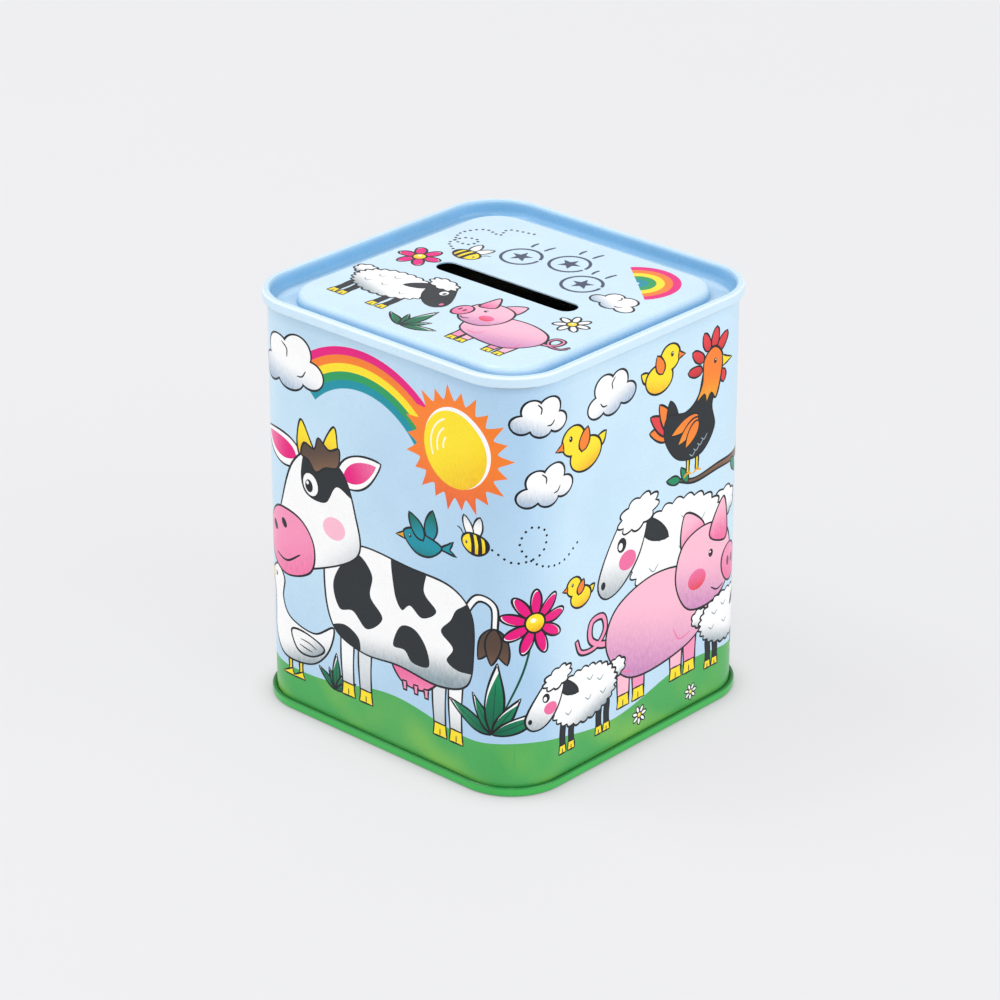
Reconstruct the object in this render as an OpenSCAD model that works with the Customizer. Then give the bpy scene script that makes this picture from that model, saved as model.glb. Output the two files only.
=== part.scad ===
// Square tinplate money box: a rolled wall with a lock seam, a stamped top panel with a coin
// slot, a stamped base panel with a round hole, and a push-in plastic stopper that closes it.
// The two panels are joined to the wall by double seams, modelled as the real folded hooks.
// Origin: middle of the resting plane. +Z up. The coin slot runs along X.

/* [Box] */
// Outside width of the square wall, between the seams
wall_w = 75; // [70:0.5:90]
// Overall height, from the base seam's flat to the top seam's crest
box_h = 92; // [80:1:120]
// Outside radius of the wall's four upright corners
corner_r = 12; // [10:0.5:14]
// Thickness of the tinplate sheet
sheet_t = 0.28; // [0.2:0.02:0.32]

/* [Seams] */
// Height of the double seam round the top
top_seam_h = 2.4; // [2.2:0.1:3]
// Height of the double seam round the base
base_seam_h = 2.1; // [2:0.1:3]
// Gap between the folded layers of a seam
fold_gap = 0.08; // [0.06:0.01:0.1]
// Width of the lock seam that closes the wall
lock_w = 3.6; // [3:0.1:5]
// Distance of the lock seam from the middle of the back side
lock_x = -14; // [-18:1:12]

/* [Top panel] */
// Depth of the channel between the rim and the raised middle, from the crest
channel_depth = 3.5; // [3:0.1:5]
// Distance of the raised middle's flat below the crest
plateau_drop = 1; // [0.6:0.1:1]
// Distance from the wall's outside in to the edge of the raised middle's flat
plateau_inset = 6.7; // [6:0.1:9]
// Corner radius of the raised middle's flat
plateau_r = 7; // [5:0.1:10]
// Length of the coin slot
slot_l = 37.5; // [30:0.5:40]
// Width of the coin slot
slot_w = 5; // [4.6:0.1:6]
// Middle of the coin slot along Y
slot_y = 0.8; // [-4:0.1:4]

/* [Base panel] */
// Height of the base panel's underside above the resting plane, in its outer band
base_recess = 3; // [2.8:0.1:4]
// Extra rise of the base panel's middle
base_step = 0.8; // [0.6:0.1:1]
// Distance from the wall's outside in to the edge of the base's raised flat
base_inset = 8.5; // [7:0.1:10]
// Radius of the hole for the stopper
hole_r = 16; // [14:0.5:18]
// Height of the collar turned up round the hole
collar_h = 1.6; // [1.2:0.1:2]

/* [Stopper] */
// Width of the stopper's flange outside the hole
flange_w = 3; // [2:0.5:5]
// Thickness of the stopper's flange
flange_t = 1.2; // [1:0.1:1.4]
// Height of the stopper's neck above the flange
neck_h = 7; // [5:0.5:9]
// Wall thickness of the stopper
stopper_t = 1.2; // [1:0.1:1.6]
// Radial clearance between the stopper's neck and the hole
neck_gap = 0.06; // [0.03:0.01:0.1]
// Thickness of the grip bar across the stopper's hollow
bar_w = 2; // [1.6:0.1:3]

/* [Hidden] */
$fn = 64;

half = wall_w / 2;                         // outside of the wall
pitch = sheet_t + fold_gap;                // from one folded layer to the next
chuck_out = half - pitch;                  // outside of a panel's upright wall, inside the box
chuck_in = chuck_out - sheet_t;
hook_in = half + fold_gap;                 // inside of a panel's hook
tongue_in = half + fold_gap + pitch;       // inside of the wall's turned-down edge
skirt_in = half + fold_gap + 2 * pitch;    // inside of a seam's outermost layer
skirt_out = skirt_in + sheet_t;            // the object's outermost surface
fold_r = fold_gap + sheet_t / 2;           // inside radius of the tight folds
crest_r = sheet_t;                         // inside radius of a seam's two crest bends
end_gap = 0.05;                            // free space at the end of a folded hook

channel_r = 1.5;                           // fillet from the rim's inner wall to the channel
shoulder_r = 1.3;                          // round edge of the raised middle
foot_r = 0.6;                              // hollow fillet at the foot of its side
plateau_half = half - plateau_inset;       // from the middle to the edge of the flat
channel_z = box_h - channel_depth;         // upper surface of the channel
plateau_z = box_h - plateau_drop;          // upper surface of the raised middle

step_r = (base_step - sheet_t) / 2;        // inside radius of the base step's two bends
step_corner_r = 6;                         // corner radius of the base's raised flat
base_half = half - base_inset;             // from the middle to the edge of that flat
base_z = base_recess + base_step;          // underside of the base's raised middle
collar_r = 0.5;                            // inside radius of the bend into the collar

lock_clear = channel_depth + 2;            // the lock seam's folds stop this far from each end
flange_gap = 0.02;                         // between the flange and the base panel
flange_z = base_z - flange_gap - flange_t; // underside of the flange
flange_r = hole_r + flange_w;
neck_r = hole_r - neck_gap;                // the part of the neck that the hole grips
neck_land = collar_h + 0.6;                // height of that part above the base panel
lead_r = neck_r - 0.6;                     // end of the neck, tapered to find the hole
neck_top = base_z + neck_h;
edge_r = 0.4;                              // round edge of the flange

// Rounded square prism, centred on Z
module rounded_prism(h, r, z, depth)
    translate([0, 0, z]) linear_extrude(depth) rounded_square(h, r);

module rounded_square(h, r) {
    square([2 * h, 2 * (h - r)], center = true);
    square([2 * (h - r), 2 * h], center = true);
    for (sx = [-1, 1], sy = [-1, 1]) translate([sx * (h - r), sy * (h - r)]) circle(r);
}

// Sweeps a profile round a rounded square. The profile's x is the distance from the axis of
// the box, its y is the height, and the corners turn about points corner_at from both planes.
module swept(corner_at) {
    for (k = [0:3]) rotate([0, 0, 90 * k]) {
        translate([corner_at, corner_at, 0])
            rotate_extrude(angle = 90) translate([-corner_at, 0]) children();
        translate([0, corner_at, 0])
            rotate([90, 0, 0]) linear_extrude(2 * corner_at) children();
    }
}

// Upright or flat strip of sheet between two corners
module strip(x0, z0, x1, z1)
    translate([min(x0, x1), min(z0, z1)]) square([abs(x1 - x0), abs(z1 - z0)]);

// A bend of the sheet: the part of a ring on the given side of its centre.
// sx and sz are -1 or 1 for one quarter, or 0 to take both sides along that axis.
module bend(x, z, r, sx, sz) {
    big = 2 * (r + sheet_t);
    translate([x, z]) intersection() {
        difference() {
            circle(r + sheet_t);
            circle(r);
        }
        translate([sx * big / 2, sz * big / 2]) square(big, center = true);
    }
}

// The wall's turned edge at a seam: up beside the wall, over, and down again
module wall_hook(seam_h) {
    top = -sheet_t - fold_gap - (fold_r + sheet_t);
    strip(tongue_in, top, tongue_in + sheet_t, -seam_h + fold_r + sheet_t + end_gap);
    bend(half + fold_r, top, fold_r, 0, 1);
}

// A panel's turned edge at a seam: inner wall, crest, outer skirt and the hook under it
module panel_hook(seam_h, chuck_h) {
    crest = -crest_r - sheet_t;
    fold_z = -seam_h + fold_r + sheet_t;
    strip(chuck_in, crest, chuck_out, -chuck_h);
    bend(chuck_out + crest_r, crest, crest_r, -1, 1);
    strip(chuck_out + crest_r, -sheet_t, skirt_in - crest_r, 0);
    bend(skirt_in - crest_r, crest, crest_r, 1, 1);
    strip(skirt_in, crest, skirt_out, fold_z);
    bend(skirt_in - fold_r, fold_z, fold_r, 0, -1);
    strip(hook_in, fold_z, hook_in + sheet_t, -sheet_t - fold_gap - fold_r - sheet_t - end_gap);
}

// Rolled wall: its turned edges at both seams, and the lock seam that closes it at the back
module body_wall() color("lightskyblue") {
    flat_top = box_h - 2 * sheet_t - fold_gap - fold_r;
    flat_low = 2 * sheet_t + fold_gap + fold_r;
    difference() {
        swept(half - corner_r) {
            strip(half - sheet_t, flat_low, half, flat_top);
            translate([0, box_h]) wall_hook(top_seam_h);
            mirror([0, 1]) wall_hook(base_seam_h);
        }
        translate([lock_x, half - 1, -1]) cube([fold_gap, 2 + skirt_out - half, box_h + 2]);
    }
    lock_seam();
}

// The lock seam's folded layers, inside the wall's back side. The left edge steps under the
// right edge's fold and turns back into it.
module lock_seam() {
    x0 = lock_x;
    x1 = lock_x + fold_gap;
    far = lock_x + lock_w;
    y1 = half - sheet_t;
    y2 = y1 - pitch;
    y3 = y2 - pitch;
    y4 = y3 - pitch;
    translate([0, 0, lock_clear]) linear_extrude(box_h - 2 * lock_clear) {
        // right edge: down beside the slit, then a tongue along the third layer
        translate([x1, y3]) square([sheet_t, half - y3]);
        translate([x1, y3]) square([lock_w - 2 * pitch, sheet_t]);
        // left edge: down to the fourth layer, along it, up and back along the second
        translate([x0 - sheet_t, y4]) square([sheet_t, half - y4]);
        translate([x0 - sheet_t, y4]) square([far - x0 + sheet_t, sheet_t]);
        translate([far - sheet_t, y4]) square([sheet_t, y2 + sheet_t - y4]);
        translate([x1 + pitch, y2]) square([far - x1 - pitch, sheet_t]);
    }
}

// Top panel: rim, channel, and raised middle with the coin slot
module top_panel() color("lightblue") difference() {
    union() {
        swept(half - corner_r) {
            translate([0, box_h]) panel_hook(top_seam_h, channel_depth - channel_r);
            bend(chuck_in - channel_r, channel_z + channel_r, channel_r, 1, -1);
        }
        channel_plate();
        swept(plateau_half - plateau_r) {
            bend(plateau_half, plateau_z - shoulder_r, shoulder_r - sheet_t, 1, 1);
            strip(plateau_half + shoulder_r - sheet_t, channel_z + foot_r,
                plateau_half + shoulder_r, plateau_z - shoulder_r);
            bend(plateau_half + shoulder_r + foot_r, channel_z + foot_r, foot_r, -1, -1);
        }
        rounded_prism(plateau_half, plateau_r, plateau_z - sheet_t, sheet_t);
    }
    coin_slot();
}

// Flat floor of the channel, between the rim's fillet and the shoulder's foot
module channel_plate() {
    outer = chuck_in - channel_r;
    inner = plateau_half + shoulder_r + foot_r;
    difference() {
        rounded_prism(outer, outer - (half - corner_r), channel_z - sheet_t, sheet_t);
        rounded_prism(inner, inner - (plateau_half - plateau_r), channel_z - 1, 2);
    }
}

module coin_slot() translate([0, slot_y, plateau_z - 1]) linear_extrude(2) {
    square([slot_l - slot_w, slot_w], center = true);
    for (s = [-1, 1]) translate([s * (slot_l - slot_w) / 2, 0]) circle(slot_w / 2);
}

// Base panel: rim, outer band, a step up to the middle, and the stopper's hole with its collar
module base_panel() color("mediumseagreen") {
    outer = chuck_in - channel_r;
    foot = base_half + 2 * step_r + sheet_t;
    swept(half - corner_r) {
        mirror([0, 1]) panel_hook(base_seam_h, base_recess - channel_r);
        bend(chuck_in - channel_r, base_recess - channel_r, channel_r, 1, 1);
    }
    difference() {
        rounded_prism(outer, outer - (half - corner_r), base_recess, sheet_t);
        rounded_prism(foot, foot - (base_half - step_corner_r), base_recess - 1, 2);
    }
    swept(base_half - step_corner_r) {
        bend(foot, base_recess + sheet_t + step_r, step_r, -1, -1);
        bend(base_half, base_z - step_r, step_r, 1, 1);
    }
    difference() {
        rounded_prism(base_half, step_corner_r, base_z, sheet_t);
        translate([0, 0, base_z - 1]) cylinder(r = hole_r + sheet_t + collar_r, h = 2);
    }
    rotate_extrude() {
        bend(hole_r + sheet_t + collar_r, base_z + sheet_t + collar_r, collar_r, -1, -1);
        strip(hole_r, base_z + sheet_t + collar_r, hole_r + sheet_t, base_z + collar_h);
    }
}

// Push-in stopper: a cup, open downwards, with a flange, a tapered end and a bar to grip
module stopper() color("white") {
    hollow_r = lead_r - stopper_t;
    roof_z = neck_top - stopper_t;
    rotate_extrude() difference() {
        union() {
            polygon([[0, flange_z], [neck_r, flange_z], [neck_r, base_z + neck_land],
                [lead_r, neck_top - edge_r], [lead_r - edge_r, neck_top], [0, neck_top]]);
            strip(hollow_r, flange_z, flange_r - edge_r, flange_z + flange_t);
            strip(hollow_r, flange_z + edge_r, flange_r, flange_z + flange_t);
            translate([flange_r - edge_r, flange_z + edge_r]) circle(edge_r);
        }
        strip(-1, flange_z - 1, hollow_r, roof_z);
    }
    bar_reach = hollow_r + stopper_t / 2;
    translate([-bar_w / 2, -bar_reach, flange_z + edge_r])
        cube([bar_w, 2 * bar_reach, roof_z + stopper_t / 2 - flange_z - edge_r]);
}

body_wall();
top_panel();
base_panel();
stopper();
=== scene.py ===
"""Looks of a printed tin money box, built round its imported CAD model.

The wall's artwork is one flat printed blank, drawn in millimetres along the wall (s) and up it
(v). It is cut into meshes whose edges follow the drawing, and rolled round the wall as thin
layers of ink. The drawing on the top panel is made the same way.
"""
import math

import bpy
import numpy as np
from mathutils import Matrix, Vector
from mathutils.geometry import delaunay_2d_cdt


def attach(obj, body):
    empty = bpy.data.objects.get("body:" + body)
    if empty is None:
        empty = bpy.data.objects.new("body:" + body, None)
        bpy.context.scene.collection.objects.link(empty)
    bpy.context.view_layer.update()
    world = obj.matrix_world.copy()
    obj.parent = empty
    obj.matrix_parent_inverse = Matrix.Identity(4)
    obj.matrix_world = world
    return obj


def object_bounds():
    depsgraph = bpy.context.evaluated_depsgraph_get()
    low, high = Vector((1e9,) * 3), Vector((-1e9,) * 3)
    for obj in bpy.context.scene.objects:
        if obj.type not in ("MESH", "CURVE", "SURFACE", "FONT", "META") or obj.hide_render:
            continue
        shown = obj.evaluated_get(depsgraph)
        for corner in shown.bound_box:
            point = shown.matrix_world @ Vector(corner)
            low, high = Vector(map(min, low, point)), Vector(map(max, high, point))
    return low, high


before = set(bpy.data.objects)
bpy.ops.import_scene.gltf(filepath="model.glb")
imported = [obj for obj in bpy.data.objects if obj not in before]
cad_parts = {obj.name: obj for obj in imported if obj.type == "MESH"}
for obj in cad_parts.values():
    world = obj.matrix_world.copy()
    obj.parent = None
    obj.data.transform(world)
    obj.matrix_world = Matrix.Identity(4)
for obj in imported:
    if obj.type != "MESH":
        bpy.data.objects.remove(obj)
cad_low, cad_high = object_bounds()

# ---------------- sizes, in millimetres
MM = 0.001
BOX_H = cad_high[2] / MM
SEAM_OUT = cad_high[0] / MM         # outside of the two seams
SEAM_DEPTH = 1.08                   # how far the seams stand out from the wall
WALL_HALF = SEAM_OUT - SEAM_DEPTH   # outside of the wall
CORNER_R = 12.0
FLAT_HALF = WALL_HALF - CORNER_R    # half width of a side's flat part
SIDE = 2 * FLAT_HALF + math.pi / 2 * CORNER_R  # one side of the printed blank, along the wall
TOP_SEAM_H = 2.4                    # height of the seam at each end of the wall
BASE_SEAM_H = 2.1
BASE_FOLD_Z = 2.7                   # the base's dark fold has ended at this height
BASE_INSIDE_Z = 3.0                 # above this, the base can face up into the box
LOCK_X = -14.0                      # the lock seam, on the +Y side
LOCK_S = 2 * SIDE - LOCK_X          # where that is along the blank
BARE_EDGE = 0.7                     # unprinted margin at each end of the blank
PLATEAU_Z = BOX_H - 1.0             # the top panel's raised middle
PLATEAU_HALF = WALL_HALF - 6.7      # half width of its flat
PLATEAU_PRINT = PLATEAU_HALF + 0.5  # its drawing ends just past the flat
CHANNEL_Z = BOX_H - 3.5             # the channel round it

INK_LOW = 0.012  # the ink layer's back and front, above the tin
INK_HIGH = 0.045
TUCK = 0.25      # how far the print runs in behind the seams
STEP = 0.38      # spacing of points along a drawn curve
GRID = 1.0       # spacing of the extra points that carry shading
LINE = 0.46      # width of a drawn outline
BENDS = 24       # flat strips round each corner of the print
WELD = 1e-5      # points nearer than this are cut as one
NEAR = 0.01      # places along the wall that are nearer than this count as one
UV_EDGE = 0.01   # in the UV map: the margin, the gap beside the
UV_GAP = 0.02    # front, and the width of the strip that holds
UV_STRIP = 0.04  # the layer's back and rim


# ---------------- inks
def rgb(red, green, blue):
    """An ink from its 0 to 255 screen values, as linear light."""
    return np.array([(c / 255) ** 2.2 for c in (red, green, blue)])


SLATE = rgb(22, 28, 34)
CHARCOAL = rgb(32, 38, 43)
SLATE_BLUE = rgb(66, 78, 100)
WHITE = rgb(252, 252, 251)
WARM_WHITE = rgb(255, 250, 225)
PALE_GREY = rgb(222, 228, 230)
SHADE = rgb(140, 158, 166)
CLOUD_GREY = rgb(160, 184, 208)
SKY = rgb(173, 207, 235)
PALE_SKY = rgb(201, 229, 245)
PINK = rgb(248, 148, 186)
PALE_PINK = rgb(252, 188, 208)
ROSE = rgb(240, 110, 160)
ROSE_DARK = rgb(120, 50, 80)
LILAC = rgb(196, 130, 184)
MAGENTA = rgb(232, 10, 124)
RED = rgb(226, 62, 66)
DARK_RED = rgb(168, 34, 46)
ORANGE = rgb(248, 128, 44)
AMBER = rgb(240, 168, 30)
YELLOW = rgb(254, 226, 40)
GREEN = rgb(40, 156, 92)
LEAF = rgb(0, 98, 72)
LEAF_LIGHT = rgb(24, 138, 92)
LEAF_DARK = rgb(8, 78, 56)
TEAL = rgb(0, 144, 162)
GRASS = rgb(74, 169, 88)
GRASS_SUN = rgb(118, 186, 84)
BROWN = rgb(84, 66, 56)
TAN = rgb(140, 104, 78)
TINPLATE = rgb(206, 206, 202)
BLUE_ENAMEL = rgb(205, 231, 247)
# painted shade for the blue enamel
BLUE_PAINTED_SHADE = rgb(128, 182, 221)
# a painted highlight for the blue enamel
BLUE_PAINTED_HIGHLIGHT = rgb(234, 245, 252)
GREEN_ENAMEL = rgb(60, 178, 80)
# painted shade for the green enamel's fold
GREEN_PAINTED_SHADE = rgb(0, 106, 42)
PLASTIC = rgb(236, 238, 238)
PAPER = rgb(124, 124, 125)
GLOW = rgb(253, 253, 255)


# ---------------- curves, as complex numbers
def unit(degrees):
    """The unit vector at an angle."""
    return complex(math.cos(math.radians(degrees)), math.sin(math.radians(degrees)))


def spline(*points, closed=True):
    """A smooth curve through the points, closed unless said otherwise."""
    p = np.array([complex(x, y) for x, y in points])
    if closed:
        q = np.concatenate([p[-1:], p, p[:2]])
    else:
        q = np.concatenate([2 * p[:1] - p[1:2], p, 2 * p[-1:] - p[-2:-1]])
    parts = []
    for a, b, c, d in zip(q, q[1:], q[2:], q[3:]):
        count = max(3, int(abs(c - b) / STEP))
        t = np.arange(count) / count
        bend = (2 * a - 5 * b + 4 * c - d) * t**2 + (3 * b - a - 3 * c + d) * t**3
        parts.append(0.5 * (2 * b + (c - a) * t + bend))
    if not closed:
        parts.append(p[-1:])
    return np.concatenate(parts)


def poly(*points):
    """Straight edges from point to point."""
    p = np.array([complex(x, y) for x, y in points])
    parts = []
    for a, b in zip(p, np.roll(p, -1)):
        count = max(2, int(abs(b - a) / (2 * STEP)))
        parts.append(a + (b - a) * np.arange(count) / count)
    return np.concatenate(parts)


def oval(x, y, rx, ry, turn=0):
    """An ellipse."""
    count = max(12, int(2 * math.pi * max(rx, ry) / STEP))
    t = np.arange(count) * 2 * math.pi / count
    return complex(x, y) + (rx * np.cos(t) + 1j * ry * np.sin(t)) * unit(turn)


def scallops(x, y, rx, ry, count, depth, turn=0):
    """An ellipse whose edge is a ring of small bumps, such as a fleece."""
    t = np.arange(count * 7) * 2 * math.pi / (count * 7)
    swell = 1 + depth * np.abs(np.sin(count * t / 2))
    return complex(x, y) + (rx * np.cos(t) + 1j * ry * np.sin(t)) * swell * unit(turn)


def leaf(x, y, length, width, turn, blunt=1.0):
    """A leaf or petal from its root at (x, y): pointed, or round-ended where blunt is below 1."""
    t = np.linspace(0, 1, max(9, int(length / STEP)))
    side = width / 2 * np.sin(math.pi * t**0.8) ** blunt
    edge = np.concatenate([t * length + 1j * side, (t * length - 1j * side)[-2:0:-1]])
    return complex(x, y) + edge * unit(turn)


def ring(x, y, outer, inner, start, end):
    """A curved band between two radii, from one angle to another."""
    t = np.linspace(start, end, max(8, int(abs(end - start) * outer / 57 / STEP)))
    arc = np.exp(1j * np.radians(t))
    return complex(x, y) + np.concatenate([outer * arc, (inner * arc)[::-1]])


def grown(loop, by):
    """A closed loop moved outwards by a distance, or inwards where it is negative."""
    turning = loop.real * np.roll(loop.imag, -1) - np.roll(loop.real, -1) * loop.imag
    along = np.roll(loop, -1) - np.roll(loop, 1)
    return loop - 1j * np.sign(turning.sum()) * by * along / np.maximum(np.abs(along), 1e-9)


# ---------------- drawing
def fade(start, end):
    """Shading that grows smoothly from nothing at one point to full at another."""
    def amount(points):
        along = end - start
        t = (((points - start) * np.conj(along)).real / abs(along)**2).clip(0, 1)
        return t * t * (3 - 2 * t)
    return amount


class Pen:
    """Draws shapes in millimetres onto a page, each one covering those before it.

    The page is a list of (loop, clip, ink, second ink, amount, pencil). A shape's ink turns into
    its second ink by an amount from 0 to 1, which is a function of the place, or None. pencil is
    1 where that shading shows pencil strokes, and 0 where it is a smooth wash. A motif gives its
    shade as (x0, y0, x1, y1), which fades in from the first place to the second.
    """

    def __init__(self, page, put=lambda z: z, size=1.0):
        self.page = page
        self.put = put
        self.size = size

    def at(self, x, y, size=1.0, turn=0, flip=False):
        """A pen with its origin at (x, y), its own size and turn, and mirrored left to right."""
        step = size * unit(turn)
        return Pen(self.page, lambda z: self.put(
            complex(x, y) + step * (-np.conj(z) if flip else z)), self.size * size)

    def shading(self, shade):
        """The amount for a shade that is given as two places, and any other shade as it is."""
        if isinstance(shade, tuple):
            return fade(self.put(complex(*shade[:2])), self.put(complex(*shade[2:])))
        return shade

    def fill(self, loop, ink, shade=None, second=SHADE, clip=None, pencil=1):
        """A plain shape with no outline."""
        clip = None if clip is None else self.put(clip)
        self.page.append((self.put(loop), clip, ink, second, self.shading(shade), pencil))

    def group(self, loops, ink, shade=None, second=SHADE, line=LINE):
        """Shapes that merge into one, with a single outline round them all."""
        width = line / self.size
        for loop in loops:
            wave = 1 + 0.25 * np.sin(np.arange(len(loop)) * 6 * math.pi / len(loop))
            self.fill(grown(loop, width / 2 * wave), SLATE)
        shade = self.shading(shade)
        inner = [grown(loop, -width / 2) for loop in loops]
        for loop in inner:
            self.fill(loop, ink, shade, second)
        return inner[0]

    def shape(self, loop, ink, shade=None, second=SHADE, line=LINE):
        """One outlined shape. Returns its inner edge, to clip the marks on it."""
        return self.group([loop], ink, shade, second, line)

    def line(self, *points, width=LINE, ink=SLATE):
        """A drawn line that thins towards its ends."""
        path = spline(*points, closed=False)
        along = np.gradient(path)
        thin = 0.5 + 0.5 * np.sqrt(np.sin(np.linspace(0, math.pi, len(path))).clip(0, 1))
        side = 0.5j * width / self.size * thin * along / np.abs(along)
        self.fill(np.concatenate([path + side, (path - side)[::-1]]), ink)

    def tube(self, *points, width=1.5, ink=WHITE, end=1.0, shade=None, second=SHADE):
        """An outlined stripe, such as a leg or a tail. end is its last width over its first."""
        path = spline(*points, closed=False)
        along = np.gradient(path)
        side = 0.5j * width * np.linspace(1, end, len(path)) * along / np.abs(along)
        return self.shape(np.concatenate([path + side, (path - side)[::-1]]), ink, shade, second)

    def dots(self, *points, gap=1.5, radius=0.28, ink=SLATE):
        """A dotted line."""
        path = spline(*points, closed=False)
        reach = np.concatenate([[0], np.cumsum(np.abs(np.diff(path)))])
        for d in np.arange(0, reach[-1], gap):
            self.fill(oval(np.interp(d, reach, path.real), np.interp(d, reach, path.imag),
                           radius, radius), ink)

    def eye(self, x, y, size=1.0):
        """A small dark eye with a glint."""
        self.fill(oval(x, y, 0.42 * size, 0.55 * size), SLATE)
        self.fill(oval(x - 0.12 * size, y + 0.18 * size, 0.14 * size, 0.16 * size), WHITE)


# ---------------- motifs
def cloud(pen):
    """A fair-weather cloud round the origin."""
    pen.group([oval(0, 0, 4.2, 2.9), oval(-4.2, -0.9, 2.6, 2.1), oval(4.3, -0.7, 2.7, 2.2),
               oval(-2.2, 2.1, 2.5, 2.5), oval(1.9, 2.4, 2.9, 2.7), oval(0.2, -2, 2.6, 1.7)],
              WHITE, (0, 0.8, -1.5, -4.2), CLOUD_GREY)
    pen.line((-1.2, 3.6), (-0.2, 2.6), (-0.3, 1.3), width=0.35)
    pen.line((3.4, -0.2), (2.6, -1.2), (1.5, -1.3), width=0.35)


def sun(pen, rays=22):
    """A sun with pointed rays, which are long and short by turns."""
    angle = np.arange(rays * 10) * 2 * math.pi / (rays * 10)
    saw = np.abs((angle * rays / (2 * math.pi)) % 1 - 0.5) * 2
    long_short = 1 + 0.16 * np.cos(angle * rays / 2)
    pen.fill((9.4 + 2.6 * saw**1.5 * long_short) * np.exp(1j * angle), ORANGE, (0, 0, 0, -22), RED)
    pen.fill(oval(0.35, 0.4, 7.7, 7.7), WHITE)
    pen.fill(oval(-0.1, -0.1, 7.4, 7.4), YELLOW, (-1, 2, 9, -13), AMBER)
    for k in range(3):
        pen.fill(ring(0, 0, 6 - 1.5 * k, 5.65 - 1.5 * k, 115 + 12 * k, 205 - 8 * k), WARM_WHITE)


def rainbow(pen, outer, start, end, band=1.75):
    """Five coloured bands round the origin, from one angle to another."""
    for k, ink in enumerate((MAGENTA, ORANGE, YELLOW, GREEN, TEAL)):
        pen.fill(ring(0, 0, outer - k * band, outer - (k + 1.04) * band, start, end), ink)


def daisy(pen, petals, ink, reach=5.0):
    """A flower head: white-edged petals round a yellow middle."""
    line = min(LINE, 0.14 * reach)
    for k in range(petals):
        petal = pen.at(0, 0, 1, 360 / petals * k + 8)
        edge = petal.shape(oval(0.62 * reach, 0, 0.4 * reach, 1.5 * reach / petals), WHITE, line=line)
        if ink is not WHITE:
            petal.fill(oval(0.58 * reach, -0.03 * reach, 0.38 * reach, 1.45 * reach / petals), ink,
                       clip=edge)
    pen.shape(oval(0, 0, 0.3 * reach, 0.3 * reach), YELLOW, (0, 0.3, 0.4, -2), AMBER, line)
    pen.fill(oval(-0.06 * reach, 0.08 * reach, 0.09 * reach, 0.07 * reach), WARM_WHITE)


def tall_daisy(pen, foot, petals, ink, reach):
    """A daisy on a stem that reaches down to foot."""
    pen.line((0, 0), (foot[0] * 0.35, foot[1] * 0.5), foot, width=0.5, ink=LEAF_DARK)
    daisy(pen, petals, ink, reach)


def plant(pen, reach=9.0, turns=(155, 118, 86, 55, 24)):
    """A tuft of pointed leaves, each with a light edge and a vein."""
    for k, turn in enumerate(turns):
        length = reach * (1, 0.8, 1.35, 0.85, 1.05)[k % 5]
        edge = pen.shape(leaf(0, 0, length, 0.25 * length, turn), WHITE)
        tip = unit(turn) * length
        pen.fill(leaf(0, -0.02 * length, length * 0.94, 0.25 * length, turn - 2.4), LEAF, clip=edge,
                 shade=(0, 0, tip.real, tip.imag), second=LEAF_LIGHT)
        pen.line((0, 0), (0.35 * tip.real, 0.35 * tip.imag), (0.72 * tip.real, 0.72 * tip.imag),
                 width=0.2, ink=LEAF_DARK)


def hoof(pen, x, width, height=2.2, ink=YELLOW):
    """A hoof that stands on y = 0, with its cleft."""
    pen.shape(poly((x - width / 2, 0), (x + width / 2, 0),
                   (x + 0.41 * width, height), (x - 0.41 * width, height)), ink, line=0.4)
    pen.line((x, 0.1), (x, 0.6 * height), width=0.3)


def cow(pen):
    """A cow in side view, facing left, with its feet on y = 0."""
    for x, ink in ((-6.5, PALE_GREY), (12.2, PALE_GREY), (-11, WHITE), (16.2, WHITE)):
        pen.tube((x, 14), (x - 0.2, 7), (x, 1.2), width=3.6, end=0.78, ink=ink, shade=(x, 9, x + 1.5, -4))
        hoof(pen, x, 3.4, 2.6)
    pen.shape(spline((1, 11.5), (2, 8.5), (5, 7.4), (9, 8.2), (11.5, 11.5)), ROSE, (5, 11, 6, 5), PINK)
    for x in (3.4, 6.2, 8.8):
        pen.tube((x, 8.3), (x + 0.1, 6.5), width=1.1, ink=PINK, end=0.8)
    pen.tube((18, 26.5), (21.4, 31), (24.6, 30), (24.8, 25), width=1.4, end=0.8)
    for turn in (-116, -72, -95):
        pen.shape(leaf(24.8, 25.6, 7.4, 3.1, turn, 0.8), BROWN, (24, 23, 25, 13), TAN, line=0.4)
    hide = pen.shape(spline((-14.2, 12.8), (-16.6, 20), (-15.5, 28.5), (-7, 32), (5, 31.6), (15, 31.2),
                            (20, 27.5), (20.6, 20), (19, 12.8), (12, 10.2), (2, 10.8), (-7, 10.2)),
                     WHITE, (0, 16, 1.2, 9))
    patches = (
        spline((-12, 27), (-8, 30), (-4.5, 27), (-5, 22.5), (-2, 19), (-6, 15.5), (-9.5, 18),
               (-13, 17.5), (-14.5, 22)),
        spline((1, 34), (9, 34), (8.5, 28), (11.5, 25), (8, 22.5), (5, 24), (2.8, 22.5), (1, 26)),
        spline((15, 24.5), (17, 27.5), (23, 30), (24, 18), (18, 15), (14, 16), (15.5, 19),
               (12.6, 21.5)),
        spline((2.5, 19), (6, 19.6), (8.8, 17), (9.5, 13.2), (5.5, 12.6), (3.5, 14.5), (0.6, 14.6)),
        spline((-16, 12), (-12, 14.5), (-8, 12.6), (-9, 8)))
    for patch in patches:
        pen.fill(patch, CHARCOAL, clip=hide)
    cow_head(pen.at(-14.6, 31, 1.5, 8))


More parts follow.
